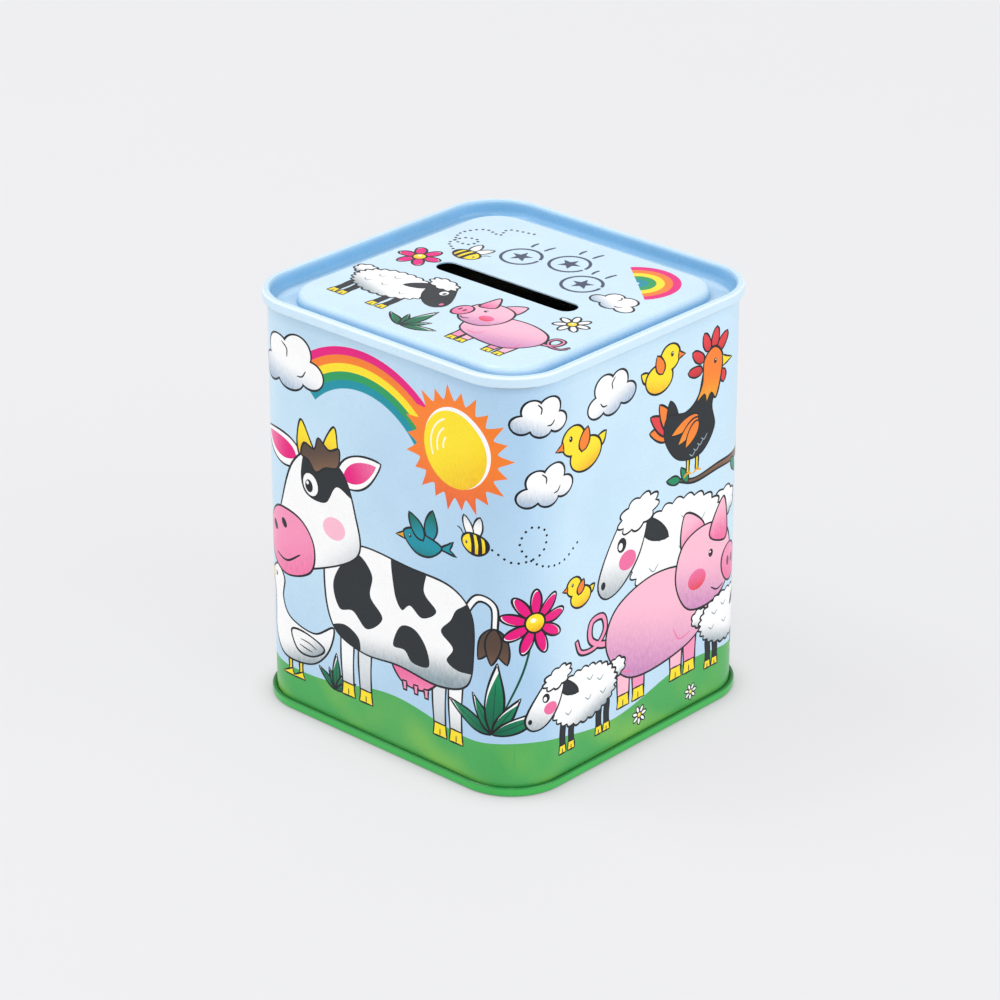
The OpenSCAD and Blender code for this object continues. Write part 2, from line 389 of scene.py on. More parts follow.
def cow_head(pen):
    """The head alone, in profile, facing left, with the neck at the origin."""
    for x, y, turn in ((-3.4, 9.4, 158), (2.2, 8, 22)):
        ear = pen.at(x, y, 1, turn)
        ear.shape(leaf(0, 0, 8.6, 4.2, 0, 0.8), WHITE)
        ear.fill(leaf(1.2, -0.1, 6.4, 2.6, 0, 0.8), MAGENTA, (2, 0, 8, 0), ROSE)
    for x, tilt in ((1.4, -14), (-2.4, 8)):
        horn = pen.at(x, 10, 1, tilt)
        horn.shape(spline((-1.2, 0), (-1.3, 2.4), (0.2, 5), (1, 2.6), (1.2, 0)), YELLOW,
                   (-1, 4, -2, -1), AMBER)
    face = pen.shape(spline((4.2, -1.5), (4.6, 4), (3.2, 9.2), (-1, 11.2), (-5.2, 9.2), (-8.4, 3.4),
                            (-10.6, -1.4), (-8.6, -4.6), (-3, -4.4)), WHITE, (-1, -1, 3, -7))
    pen.fill(spline((-1.5, 12), (-3.9, 8.6), (-3.7, 5.4), (-0.4, 4.6), (2, 7), (5, 6), (6, 12)),
             CHARCOAL, clip=face)
    pen.fill(oval(0.6, 1.4, 1.9, 1.5), PALE_PINK, clip=face)
    pen.shape(spline((-5.2, 1.6), (-9.2, 2.8), (-12.4, 0.2), (-12.6, -3.6), (-9, -6.2), (-4.6, -5.2),
                     (-3.4, -1.6)), PINK, (-8, 0, -6, -9), ROSE)
    pen.fill(oval(-10.6, 0, 0.5, 0.75, 30), SLATE)
    pen.fill(oval(-8.3, 0.7, 0.45, 0.7, 20), SLATE)
    pen.line((-10.8, -3.6), (-8.6, -4.3), (-6.1, -3.2), width=0.5)
    pen.shape(oval(-2.6, 6.6, 1.35, 1.6, 10), WHITE, line=0.4)
    pen.fill(oval(-2.9, 6.4, 0.65, 0.85), SLATE)
    pen.fill(oval(-3.1, 6.8, 0.22, 0.25), WHITE)
    pen.shape(spline((-3.6, 10.4), (-2.8, 12), (-1.2, 11.4), (-0.2, 13), (1.4, 11.6), (3.2, 12),
                     (2.6, 9.6), (0.4, 9.2), (-1.4, 8.4), (-2.4, 9.8)), BROWN, (0, 12, 1, 7), TAN)


def pig(pen):
    """A pig in side view, facing right, with its feet on y = 0."""
    for x, ink in ((-5.5, PINK), (7.2, PINK), (-9.2, PALE_PINK), (3.8, PALE_PINK)):
        pen.tube((x, 8), (x, 1), width=3.4, end=0.8, ink=ink)
        hoof(pen, x, 3)
    pen.tube((-11, 13), (-14.4, 13.2), (-17.2, 15), (-17, 18), (-14.4, 18.2), (-13.8, 15.6),
             (-16, 13.4), (-19.4, 13.6), (-20.6, 16), width=1.3, ink=PINK, end=0.6)
    pen.shape(spline((-13.4, 11.6), (-11.4, 18), (-3, 21), (6, 19.6), (11.6, 14.4), (10, 7.2),
                     (2, 4.4), (-8, 4.8)), PALE_PINK, (1, 16, -4, 1), LILAC)
    pen.line((-9.8, 9.6), (-9.4, 6.6), (-7, 5.6), width=0.3, ink=ROSE)
    pen.line((3, 9.4), (4.6, 7), (7.4, 7.4), width=0.3, ink=ROSE)
    head = pen.at(10.8, 18, 1.12)
    head.shape(spline((-5.4, 4.2), (-4.8, 9.8), (-0.6, 7.2), (-1.2, 4)), PALE_PINK, (-4, 9, -2, 3), ROSE)
    head.shape(spline((-6.6, -0.6), (-5, 5), (0.6, 6.6), (5.2, 4), (6, -2), (2.6, -6), (-3.6, -5.8)),
               PALE_PINK, (1, 2, -2, -9), LILAC)
    head.shape(spline((0.8, 4.6), (3.8, 9.8), (5, 4.8), (4.2, 2.8)), PALE_PINK, (3, 9.6, 4, 3), ROSE)
    head.shape(oval(6, -1.4, 2.3, 3.1, 8), PINK, (6, 1, 6, -5), ROSE)
    for x in (5.5, 6.9):
        head.fill(oval(x, -1.2, 0.4, 0.8), ROSE_DARK)
    head.eye(1.2, 1.6, 1.2)
    head.line((1.4, -4), (2.8, -4.8), (4.2, -4.3), width=0.4)
    head.fill(oval(-1.8, -1.6, 2, 1.6), ROSE, (-1.8, 0, -1.8, -4), RED)


def sheep(pen, face=CHARCOAL):
    """A sheep in side view, facing left, with its feet on y = 0."""
    for x in (-2.6, 4.4, -4.8, 6.4):
        pen.tube((x, 6), (x - 0.2, 1), width=1.2, ink=CHARCOAL)
        hoof(pen, x - 0.1, 1.8, 1.6)
    pen.shape(scallops(8.9, 11.2, 1.9, 1.6, 7, 0.22), WHITE, (9, 11, 9.4, 9))
    pen.shape(scallops(0.6, 9.2, 7.8, 4.9, 26, 0.09), WHITE, (0, 7.4, 1.4, 3))
    for x, y in ((-2.4, 10.6), (1.6, 8.2), (4.6, 10.8), (-3.4, 7.2), (2, 11.8), (5.4, 8)):
        pen.line((x - 0.8, y + 0.3), (x, y - 0.4), (x + 0.8, y + 0.3), width=0.3, ink=SHADE)
    dark = face is CHARCOAL
    head = pen.at(-7.2, 11.2, 1.25)
    head.shape(leaf(1.2, 1.8, 4.6, 1.8, -34, 0.7), CHARCOAL)
    head.shape(spline((2, 2.6), (-0.8, 3.2), (-2.8, 1.2), (-4.4, -2.2), (-3.4, -3.9), (-1.2, -3.4),
                      (1.2, -0.8)), face, None if dark else (0, 0, -1, -6))
    head.shape(scallops(0.9, 3, 2.3, 1.3, 9, 0.25, 12), WHITE)
    head.fill(oval(-1.3, 0.6, 0.62, 0.72), WHITE if dark else SLATE)
    head.fill(oval(-1.45, 0.5, 0.28, 0.36), SLATE if dark else WHITE)
    head.fill(oval(-3.7, -2.5, 0.3, 0.4), ROSE if dark else SLATE)
    if not dark:
        head.fill(oval(-0.5, -1.1, 1.15, 0.95), ROSE)


def hen(pen):
    """A hen in side view, facing left, with its feet on y = 0."""
    for x in (-0.6, 1.8):
        pen.tube((x, 4), (x, 0.6), width=0.75, ink=YELLOW)
        pen.line((x - 1.1, 0.1), (x, 0.5), (x + 1, 0), width=0.5, ink=AMBER)
    for turn, ink in ((18, ORANGE), (38, RED), (58, ORANGE), (78, CHARCOAL)):
        pen.shape(leaf(5.4, 9, 8.6 - abs(turn - 45) / 16, 3, turn, 0.7), ink)
    pen.shape(spline((-5.8, 17), (-4.2, 11.5), (-5, 7), (-1.5, 3.2), (4.4, 4), (8, 8.6), (7.4, 12.6),
                     (2.6, 12), (-0.6, 14), (-2.2, 18.4)), CHARCOAL)
    for k in range(4):
        x, y = k - 3.2, 6.4 - 0.7 * k
        pen.line((x, y), (x + 0.8, y - 0.9), (x + 1.6, y - 0.4), width=0.3, ink=SHADE)
    for k, turn in enumerate((-14, -34, -52)):
        pen.shape(leaf(-0.8, 10.6 - 0.5 * k, 7.4 - k, 2.4, turn, 0.75), ORANGE, (1, 10, 8, 4),
                  AMBER, line=0.4)
    comb = ((-1.6, 18.4, 8), (-1.9, 20, 38), (-5.6, 20.8, 128), (-4.5, 21.6, 100), (-3.2, 21.4, 70))
    for x, y, turn in comb:
        pen.shape(leaf(x, y, 3.9, 2, turn, 0.5), RED, (x, y + 2, x, y - 2), DARK_RED, line=0.4)
    pen.shape(leaf(-6.9, 17.2, 2.6, 1.6, -96, 0.5), RED, line=0.4)
    pen.shape(spline((-6.8, 19.8), (-4.6, 21.9), (-2, 20.2), (-1.6, 16), (-0.2, 13), (-2.2, 13.8),
                     (-2.8, 12.2), (-4, 13.6), (-5.2, 12.4), (-6.4, 15.6)), ORANGE, (-4, 18, -3, 11),
              AMBER)
    pen.shape(poly((-6.7, 19.7), (-9.6, 18.5), (-6.9, 17.6)), YELLOW, line=0.4)
    pen.eye(-4.9, 19.2, 0.9)


def chick(pen, flying=False):
    """A chick facing left, with its feet on y = 0."""
    if not flying:
        for x in (-0.4, 0.9):
            pen.line((x, 1.8), (x, 0.9), (x - 0.1, 0), width=0.4, ink=ORANGE)
    pen.shape(leaf(2.2, 3.2, 2.6, 1.6, 32, 0.8), YELLOW)
    pen.group([oval(0.4, 3.2, 2.9, 2.2), oval(-1.6, 6, 2.1, 2)], YELLOW, (0, 3.6, 0.6, 0), AMBER)
    pen.shape(leaf(-0.3, 3.8, 3.3, 1.9, 62 if flying else -12, 0.7), ORANGE, line=0.4)
    pen.shape(poly((-3.4, 6.6), (-4.9, 5.9), (-3.4, 5.3)), ORANGE, line=0.4)
    pen.eye(-2, 6.4, 0.75)


def duck(pen):
    """A duck facing left, with its feet on y = 0."""
    for x in (-0.8, 1.4):
        pen.tube((x, 3.4), (x, 1), width=0.7, ink=YELLOW)
        pen.shape(poly((x - 2, 0), (x + 0.8, 0), (x + 0.3, 1.2)), YELLOW, line=0.4)
    pen.shape(spline((-5.4, 16.4), (-3.4, 17.4), (-1.8, 15.6), (-2.2, 12.4), (-0.4, 9.6), (4.4, 8.6),
                     (8.4, 10.8), (7.2, 6.4), (3.6, 3.2), (-2.2, 3), (-5, 6.2), (-4.9, 10.6),
                     (-5.2, 13.2), (-6.2, 14.8)), WHITE, (0, 6.4, 1.6, 1.8))
    pen.shape(spline((-0.4, 7.8), (3, 8), (6.4, 6.6), (4, 4.6), (0.8, 4.8)), WHITE, (2, 7, 4, 4))
    pen.line((1.4, 6.8), (3.2, 6.6), (4.8, 6), width=0.3)
    pen.line((1.2, 5.8), (2.6, 5.5), (3.9, 5.3), width=0.3)
    pen.shape(spline((-5.8, 16), (-8, 15.4), (-9.2, 14.4), (-7.6, 13.8), (-5.8, 14)), YELLOW,
              (-7, 15, -7, 13), ORANGE)
    pen.eye(-4.3, 15.6, 0.8)


def bird(pen, ink=TEAL, second=LEAF):
    """A small bird flying to the left."""
    pen.shape(poly((3.4, -0.2), (7, 1.6), (6, 0), (7.4, -1)), ink)
    pen.shape(leaf(1.6, 0.8, 5.6, 2.8, 74, 0.8), ink, (2, 1, 3, 7), second)
    pen.shape(spline((-4.2, 1.2), (-2.2, 2.4), (1, 1.6), (4.2, 0), (1.4, -2), (-2, -1.6)), ink,
              (0, 0, 0, -4), second)
    pen.shape(leaf(0.2, 0.6, 5.2, 2.6, 118, 0.8), ink, (0, 1, -2, 6), second)
    pen.shape(poly((-4.1, 1.5), (-5.9, 0.8), (-4, 0.3)), AMBER, line=0.4)
    pen.eye(-2.7, 1, 0.7)


def bee(pen):
    """A bee flying to the left."""
    for x, turn in ((0.4, 68), (-0.4, 108)):
        pen.shape(leaf(x, 1.2, 4.2, 2, turn, 0.55), WHITE, (x, 3, x, 7), line=0.4)
    body = pen.shape(oval(0, 0, 2.9, 2, -8), YELLOW, (0, 0, 0.5, -3), AMBER)
    for x in (-0.5, 1, 2.4):
        pen.fill(spline((x - 0.4, 2.4), (x + 0.4, 2.3), (x + 0.6, 0), (x + 0.2, -2.4), (x - 0.5, -2.3),
                        (x - 0.2, 0)), SLATE, clip=body)
    pen.line((-2.2, 1.2), (-2.8, 2.4), (-3.6, 2.8), width=0.35)
    pen.eye(-1.8, 0.2, 0.6)


def butterfly(pen, ink=MAGENTA, spot=YELLOW):
    """A butterfly with open wings, seen from above."""
    for flip in (False, True):
        wing = pen.at(0, 0, 1, 0, flip)
        wing.shape(leaf(0.2, 0.2, 4.6, 3.4, 42, 0.6), ink, (1, 1, 5, 5), ORANGE)
        wing.shape(leaf(0.2, -0.2, 3.4, 2.6, -38, 0.6), ink, (1, -1, 4, -4), ORANGE)
        wing.fill(oval(2.6, 2.3, 0.8, 0.7), spot)
        wing.line((0, 2), (0.6, 3.2), (1.5, 3.6), width=0.3)
    pen.fill(leaf(0, -2, 4.4, 1, 90, 0.7), SLATE)


def branch(pen):
    """A branch that grows in from the right, with its perch at the height of the origin."""
    pen.tube((4, 3), (-6, 0.4), (-14, 0), (-22, -0.8), (-27, 0.6), width=2.2, end=0.35, ink=TAN,
             shade=(0, 1, 0, -2), second=BROWN)
    for x, y, turn in ((-6, 0.6, 60), (-10, 0, -58), (-24.4, -0.6, 120), (-26.8, 0.6, 165),
                       (-3, 1.4, -70)):
        pen.shape(leaf(x, y, 4.6, 2, turn, 0.8), LEAF_LIGHT, line=0.4)


def tree(pen):
    """An apple tree with its foot at the origin."""
    pen.shape(spline((-2.6, 0), (-1.5, 5), (-1.7, 12), (-4, 17), (4, 17), (1.7, 12), (1.6, 5), (2.8, 0)),
              TAN, (0, 8, 2.5, 8), BROWN)
    pen.group([oval(0, 24, 9, 8), oval(-7.5, 20, 5.6, 5), oval(7.6, 20.4, 5.8, 5.2),
               oval(-5, 27.6, 5.6, 5), oval(5, 28, 5.8, 5.2)], LEAF_LIGHT, (-2, 28, 3, 14), LEAF)
    apples = ((-8, 20), (-3, 25), (2.6, 20.4), (7.4, 24.6), (-4.4, 30), (4, 30.4), (10, 19), (-1.6, 17.8))
    for x, y in apples:
        pen.shape(oval(x, y, 1.2, 1.25), RED, (x, y, x + 0.5, y - 1.8), DARK_RED, line=0.4)
        pen.line((x, y + 1), (x + 0.2, y + 1.6), (x + 0.6, y + 2), width=0.3)


def barn(pen):
    """A red barn with its foot on y = 0."""
    pen.shape(poly((-14, 0), (14, 0), (14, 18), (-14, 18)), RED, (0, 14, 4, -6), DARK_RED)
    for x in np.arange(-11.2, 14, 2.8):
        pen.line((x, 0.4), (x + 0.1, 9), (x, 17.6), width=0.25, ink=DARK_RED)
    pen.shape(poly((-16, 17), (-10, 26), (0, 30.5), (10, 26), (16, 17)), CHARCOAL)
    pen.shape(poly((-13.4, 17), (-8.6, 24), (0, 28), (8.6, 24), (13.4, 17)), RED, (0, 26, 0, 8), DARK_RED)
    pen.shape(poly((-5.6, 0), (5.6, 0), (5.6, 11), (-5.6, 11)), WHITE)
    pen.shape(poly((-4.4, 0), (-0.3, 0), (-0.3, 9.8), (-4.4, 9.8)), RED, line=0.4)
    pen.shape(poly((0.3, 0), (4.4, 0), (4.4, 9.8), (0.3, 9.8)), RED, line=0.4)
    for flip in (False, True):
        door = pen.at(0, 0, 1, 0, flip)
        door.line((0.6, 0.6), (2.4, 5), (4.1, 9.4), width=0.6, ink=WHITE)
        door.line((4.1, 0.6), (2.4, 5), (0.6, 9.4), width=0.6, ink=WHITE)
    pen.shape(oval(0, 20, 3.2, 3.2), WHITE)
    pen.shape(oval(0, 20, 2.3, 2.3), AMBER, (0, 21, 0, 17), TAN, line=0.4)


def fence(pen, posts, gap=5.2):
    """A white picket fence from the origin to the right."""
    end = gap * (posts - 1) + 1
    for y in (3.4, 6.8):
        pen.shape(poly((-1, y), (end, y), (end, y + 1.2), (-1, y + 1.2)), WHITE, (0, y + 1, 0, y - 2))
    for k in range(posts):
        x = k * gap
        post = poly((x - 1, 0), (x + 1, 0), (x + 1, 8.6), (x, 10), (x - 1, 8.6))
        pen.shape(post, WHITE, (x, 6, x + 1, -4))


def tractor(pen):
    """A plain tractor facing left, with its wheels on y = 0."""
    pen.tube((-9.5, 16), (-9.5, 21), width=1.2, ink=CHARCOAL)
    pen.shape(spline((-14, 7), (-14.4, 12.6), (-11, 15), (-3, 15.4), (2, 15.4), (2, 7)), TEAL,
              (0, 13, 0, 3), LEAF_DARK)
    pen.shape(poly((-1, 14.5), (0.6, 25), (10.6, 25), (12, 14.5)), WHITE, (4, 24, 6, 10), CLOUD_GREY)
    pen.shape(poly((-1.4, 24.6), (12.4, 24.6), (11.6, 27), (-0.4, 27)), RED)
    pen.shape(spline((1, 7), (0.6, 14.8), (6, 17.4), (13.4, 16), (15, 7)), TEAL, (6, 16, 6, 2), LEAF_DARK)
    for k in range(3):
        pen.line((-12.6 + 2.4 * k, 9.4), (-12.4 + 2.4 * k, 11), (-12.2 + 2.4 * k, 12.8), width=0.4)
    for x, r in ((8, 7.6), (-9.6, 4.8)):
        pen.shape(scallops(x, r, 0.95 * r, 0.95 * r, int(3 * r), 0.07), CHARCOAL)
        pen.shape(oval(x, r, 0.55 * r, 0.55 * r), YELLOW, (x, r, x + 2, r - 6), AMBER)
        pen.shape(oval(x, r, 0.16 * r, 0.16 * r), WHITE)


def star(x, y, radius, turn=0):
    """A five-pointed star."""
    k = np.arange(10)
    points = radius * np.where(k % 2, 0.42, 1) * np.exp(1j * k * math.pi / 5)
    return complex(x, y) + points * unit(90 + turn)


def coin(pen, radius=4.3):
    """A plain coin in bare line, with a star in its middle."""
    pen.fill(ring(0, 0, radius + 0.35, radius - 0.35, 4, 356), SLATE_BLUE)
    pen.fill(star(0, 0, 0.62 * radius), SLATE_BLUE)


# ---------------- the printed blank
def round_box(s):
    """How far round the box a place along the blank is, as an angle from the middle of the front."""
    return 2 * math.pi * s / (4 * SIDE)


def grass_top(s):
    """Height of the grass along the blank. It is the same at the blank's two ends."""
    turn = round_box(s)
    mound = 1.6 * np.exp(-((s - SIDE / 2) / 12) ** 2)
    return 10.6 + 1.8 * np.cos(3 * turn - 0.4) + 0.9 * np.sin(7 * turn + 1) + mound


def sky_wash_and_painted_light(points):
    """How pale the sky is. Painted light: pale all over the right and left sides, less along the front
    and the back towards their right-hand ends, and less near the grass; with soft printed patches."""
    turn = round_box(points.real)
    along = (points.real / SIDE + 0.5) % 2
    pale = np.interp(along, (0, 0.4, 0.9, 1.03, 1.2, 1.9, 2), (0.88, 0.7, 0.1, 0.12, 0.95, 1, 0.88))
    pale += 0.1 * np.sin(5 * turn + points.imag / 13) + 0.06 * np.sin(9 * turn - points.imag / 8)
    return (pale - 0.6 * ((34 - points.imag) / 34).clip(0, 1)).clip(0, 1)


def grass_wash(points):
    """Broad soft patches of sunlit grass, most of them near the blank's lower edge."""
    turn = round_box(points.real - 14)
    patches = np.sin(8 * turn + points.imag / 3) * np.sin(3 * turn + 1.2)
    patches += 0.4 * np.sin(23 * turn) * np.cos(points.imag / 2.4)
    return ((0.8 * patches + 0.35) * (1.1 - points.imag / 14)).clip(0, 1)


def wall_page():
    """The whole blank: sky, grass, and a drawing for each side. The back's is at both ends."""
    start, end = LOCK_S - 4 * SIDE, LOCK_S
    page = []
    pen = Pen(page)
    # the sky's paler ink is partly printed patches and partly painted light and shade
    pen.fill(np.array([start - 2, end + 2, end + 2 + 95j, start - 2 + 95j]), SKY, sky_wash_and_painted_light, PALE_SKY,
             pencil=0)
    s = np.arange(start - 2, end + 3, 0.8)
    pen.fill(np.concatenate([s + 1j * grass_top(s), [end + 3 - 2j, start - 2 - 2j]]), GRASS,
             grass_wash, GRASS_SUN, pencil=0)
    front_side(pen)
    right_side(pen.at(SIDE, 0))
    back_side(pen.at(2 * SIDE, 0))
    back_side(pen.at(-2 * SIDE, 0))
    left_side(pen.at(-SIDE, 0))
    return page


def front_side(pen):
    """A cow and a duck under the sun and a rainbow."""
    rainbow(pen.at(-4, 60.5), 27, 136, 32)
    cloud(pen.at(-24.5, 78.5, 1.4, 4))
    sun(pen.at(21.4, 73.8, 1.1))
    bird(pen.at(12.5, 50.5, 1.25, 8))
    bee(pen.at(26.5, 55, 1.15, 8))
    pen.dots((30.5, 54.6), (35, 52), (40.5, 53.5), (41.5, 58), (38, 59.4), (36, 55.5), (40, 51),
             (46, 50), (51, 53))
    duck(pen.at(-25, 7.6, 1.4))
    plant(pen.at(-12.8, 8.6), 6.4, (140, 112, 88, 60, 30))
    cow(pen.at(3.2, 8.6, 1.12))
    tall_daisy(pen.at(39.2, 38.5), (-6.5, -20), 9, MAGENTA, 7.2)
    plant(pen.at(30.4, 13.5), 12)


def right_side(pen):
    """A hen on a branch, a pig in front of a big sheep, and two small sheep."""
    cloud(pen.at(-29.5, 82, 0.95, -6))
    cloud(pen.at(-9.4, 81, 1.05, 5, True))
    cloud(pen.at(-28, 67, 1.0, 3))
    branch(pen.at(39, 54.8))
    chick(pen.at(-17, 66, 1.6, 8), flying=True)
    chick(pen.at(5, 75.4, 1.45, -6, True), flying=True)
    hen(pen.at(16.6, 55.6, 1.2, 0, True))
    sheep(pen.at(10.5, 25, 1.85), WHITE)
    chick(pen.at(-18.6, 36.8, 1.05), flying=True)
    pig(pen.at(7, 10, 1.28))
    sheep(pen.at(-17.5, 6.6, 1.2), WHITE)
    sheep(pen.at(29.5, 8.6, 1.15, 0, True))
    daisy(pen.at(0.5, 6), 7, WHITE, 2.2)
    daisy(pen.at(17, 5), 7, WHITE, 1.9)


def back_side(pen):
    """A tractor and an apple tree."""
    cloud(pen.at(-22, 80, 1.15, 2))
    cloud(pen.at(22, 82, 0.95, -4, True))
    cloud(pen.at(3, 70, 0.85, 4))
    butterfly(pen.at(-18, 67, 1.1, 20))
    bird(pen.at(20, 66, 1.05, -6, True))
    bee(pen.at(-7, 58, 1.0, -8, True))
    pen.dots((-11, 57), (-15, 54), (-20, 53), (-22, 49), (-18, 47), (-15.6, 50.6), (-19, 54.5), (-26, 52))
    tree(pen.at(24.5, 10, 1.25))
    tractor(pen.at(-6, 9.4, 1.22))
    tall_daisy(pen.at(-29.5, 37), (2, -22), 9, ORANGE, 6)
    plant(pen.at(-27.4, 13), 8)
    hen(pen.at(21.5, 6.2, 0.8))
    chick(pen.at(29.5, 5.4, 0.85))
    chick(pen.at(34.6, 6.6, 0.75))
    daisy(pen.at(-14, 4.6), 7, WHITE, 2)
    daisy(pen.at(-24, 6), 7, WHITE, 1.7)


def left_side(pen):
    """A barn and a fence with tall flowers."""
    cloud(pen.at(-25, 79, 1.1, -3))
    cloud(pen.at(1, 82.5, 1.0, 5, True))
    sun(pen.at(22, 76, 0.8))
    bird(pen.at(-9, 66, 1.0, 8), ROSE, MAGENTA)
    butterfly(pen.at(14, 56, 1.15, -14), ORANGE, YELLOW)
    barn(pen.at(-13, 11, 1.25))
    fence(pen.at(9, 11), 5)
    tall_daisy(pen.at(27.4, 41), (-1, -26), 9, MAGENTA, 5.6)
    tall_daisy(pen.at(18.6, 34.5), (1.4, -20), 8, YELLOW, 5)
    plant(pen.at(25, 13.5), 7.5)
    sheep(pen.at(9.5, 6.6, 1.2))
    duck(pen.at(-24, 6.2, 0.85, 0, True))
    chick(pen.at(-8, 5.8, 0.9, 0, True))
    chick(pen.at(-2, 4.6, 0.8, 0, True))
    daisy(pen.at(26, 5.4), 7, WHITE, 2.1)
    daisy(pen.at(-31, 5), 7, WHITE, 1.8)


def top_page():
    """The drawing on the top panel's raised middle, seen with +Y upwards."""
    page = []
    pen = Pen(page)
    rainbow(pen.at(18.6, 20), 9, -40, 140, 1.7)
    cloud(pen.at(22, 8.8, 0.85, -8))
    for x, y, turn in ((-8.8, 15, 10), (1.4, 18.6, -6), (10.6, 12, 14)):
        coin(pen.at(x, y, 1, turn))
        pen.line((x - 2, y + 5.3), (x - 2.3, y + 6.6), (x - 2.2, y + 8), width=0.7, ink=SLATE_BLUE)
        pen.line((x + 1.5, y + 5.4), (x + 1.6, y + 7), (x + 2, y + 8.6), width=0.7, ink=SLATE_BLUE)
    bee(pen.at(-18, 8.2, 1.15, -10, True))
    pen.dots((-22.4, 8.8), (-25.4, 11), (-24.8, 15), (-21.6, 15.8), (-21.4, 12.8), (-25.2, 12.6),
             (-27.4, 17), (-24.8, 21.4), (-20.4, 21), (-21, 24.6), (-15, 26.4), gap=1.35, radius=0.36)
    daisy(pen.at(-24.4, 0.8), 6, MAGENTA, 5)
    sheep(pen.at(-17.2, -25, 1.2, 0, True))
    plant(pen.at(-1.6, -28.6), 7.4, (150, 116, 84, 50, 18))
    pig(pen.at(15.4, -27, 0.76, 0, True))
    daisy(pen.at(23.4, -5.4), 7, WHITE, 3.9)
    return page


# ---------------- flat meshes cut along a drawing
def inside(loop, points):
    """Which points lie inside a closed loop, by its winding number."""
    a, b = loop, np.roll(loop, -1)
    y = points.imag[:, None]
    side = (b - a).real * (y - a.imag) - (points.real[:, None] - a.real) * (b - a).imag
    up = (a.imag <= y) & (b.imag > y) & (side > 0)
    down = (a.imag > y) & (b.imag <= y) & (side < 0)
    return up.sum(1) != down.sum(1)


def topmost(page, points):
    """The number of the shape that shows at each point, or -1 where there is none."""
    found = np.full(len(points), -1)
    for k, (loop, clip, *_) in enumerate(page):
        near = np.flatnonzero((points.real > loop.real.min()) & (points.real < loop.real.max())
                              & (points.imag > loop.imag.min()) & (points.imag < loop.imag.max()))
        near = near[inside(loop, points[near])]
        if clip is not None:
            near = near[inside(clip, points[near])]
        found[near] = k
    return found


def triangulate(points, edges):
    """The flat mesh with all the given edges: its points, triangles, and what each point came from."""
    flat = [Vector((p.real, p.imag)) for p in points]
    found = delaunay_2d_cdt(flat, edges, [], 0, WELD, True)
    return np.array([complex(*p) for p in found[0]]), np.array(found[2]), found[3]


def closed(loop):
    """The edges round a loop, as index pairs."""
    k = np.arange(len(loop))
    return np.stack([k, (k + 1) % len(k)], 1)


def sides(triangles):
    """Every triangle's three edges, as index pairs in the triangle's own direction."""
    return np.concatenate([triangles[:, [0, 1]], triangles[:, [1, 2]], triangles[:, [2, 0]]])


def wound(triangles, points, way):
    """The triangles wound anticlockwise where way is 1, and clockwise where it is -1."""
    a, b, c = points[triangles].T
    turned = way * ((b - a) * np.conj(c - a)).imag > 0
    return np.where(turned[:, None], triangles[:, ::-1], triangles)


def borders(triangles, look):
    """The edges between triangles of different looks, and those with a triangle on one side only."""
    edge, place, count = np.unique(np.sort(sides(triangles), 1), axis=0, return_inverse=True,
                                   return_counts=True)
    lowest = np.full(len(edge), look.max())
    highest = np.full(len(edge), look.min())
    np.minimum.at(lowest, place.ravel(), np.tile(look, 3))
    np.maximum.at(highest, place.ravel(), np.tile(look, 3))
    return edge[(count == 1) | (lowest != highest)]


def window(page, low, high, points, triangles):
    """The triangles within a window, and the shape that shows at each."""
    middle = points[triangles].mean(1)
    kept = (middle.real > low.real) & (middle.real < high.real)
    kept &= (middle.imag > low.imag) & (middle.imag < high.imag)
    return triangles[kept], topmost(page, middle[kept])


def cut(page, low, high, bends):
    """Cuts a window of a page along the drawing and along upright bend lines.

    Returns the shapes near the window, the points, the triangles, and the number of the shape
    that shows at each triangle. The first cut is along every shape. It finds the borders that
    show, and the second cut keeps only those, with points between them to carry the shading.
    """
    frame_loop = np.array([low, complex(high.real, low.imag), high, complex(low.real, high.imag)])
    near = [shape for shape in page
            if shape[0].real.max() > low.real and shape[0].real.min() < high.real]
    loops = [frame_loop] + [shape[0] for shape in near]
    first = np.cumsum([0] + [len(loop) for loop in loops])
    edges = np.concatenate([closed(loop) + k for loop, k in zip(loops, first)])
    points, triangles, _ = triangulate(np.concatenate(loops), edges.tolist())
    triangles, shape = window(near, low, high, points, triangles)
    looks = {}
    look = np.array([looks.setdefault(tuple(map(id, near[k][2:5])) if k >= 0 else None, len(looks))
                     for k in shape])

    used, kept = np.unique(borders(triangles, look), return_inverse=True)
    lines = [np.array([complex(s, low.imag), complex(s, high.imag)]) for s in bends]
    x, y = np.meshgrid(np.arange(low.real + GRID / 2, high.real, GRID),
                       np.arange(low.imag + GRID / 2, high.imag, GRID))
    on_bends = np.reshape(bends, (-1, 1)) + 1j * np.arange(low.imag + GRID, high.imag, 2 * GRID)
    parts = [points[used]] + lines + [(x + 1j * y).ravel(), on_bends.ravel()]
    edges = np.concatenate([kept.reshape(-1, 2), len(used) + np.arange(2 * len(lines)).reshape(-1, 2)])
    points, triangles, _ = triangulate(np.concatenate(parts), edges.tolist())
    triangles, shape = window(near, low, high, points, triangles)
    return near, points, triangles, shape


def ink_colours(page, shape, corners):
    """The ink at each corner of each triangle, with the amount of its pencil shading as alpha."""
    out = np.ones(corners.shape + (4,))
    for k in np.unique(shape):
        _, _, ink, second, amount, pencil = page[k]
        mine = shape == k
        t = amount(corners[mine]) if amount else np.zeros(corners[mine].shape)
        out[mine, :, :3] = ink + (second - ink) * t[..., None]
        out[mine, :, 3] = t * pencil
    return out


